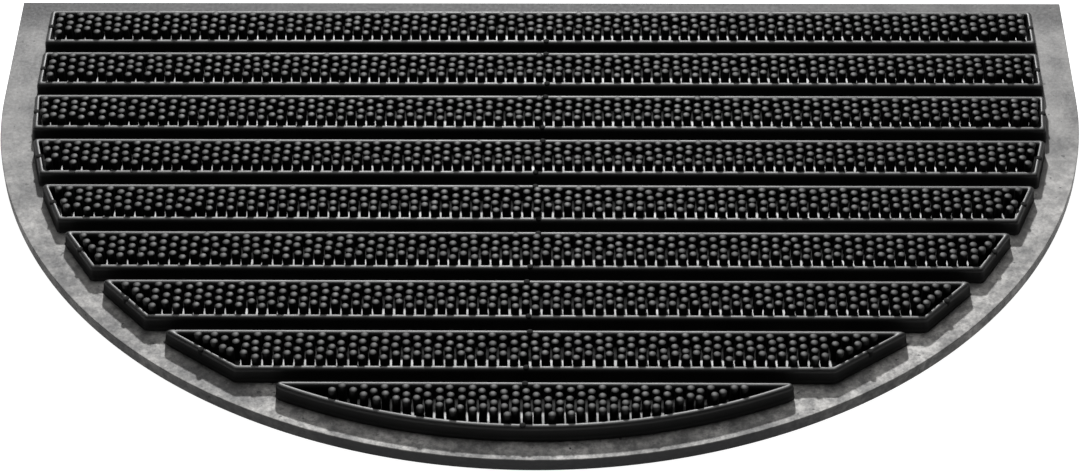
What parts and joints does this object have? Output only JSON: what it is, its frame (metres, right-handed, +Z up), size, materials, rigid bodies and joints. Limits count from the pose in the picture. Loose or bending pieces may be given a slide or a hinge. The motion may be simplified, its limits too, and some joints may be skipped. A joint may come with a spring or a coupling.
{
  "type": "doormat",
  "caption": "Half-round rubber doormat moulded in one piece: a flat plate with a plain border, and rows of walled trays full of short upright scraper pins.",
  "frame": {"origin": "on the floor, under the middle of the mat's plan", "axes": "+X along the straight edge to the right, +Y towards the straight back edge, +Z up"},
  "size_m": [0.75, 0.45, 0.025],
  "materials": {
    "rubber": "matte moulded black rubber, a little dusty and scuffed on the plate"
  },
  "bodies": {
    "root": {"mat": "rubber"}
  },
  "joints": []
}
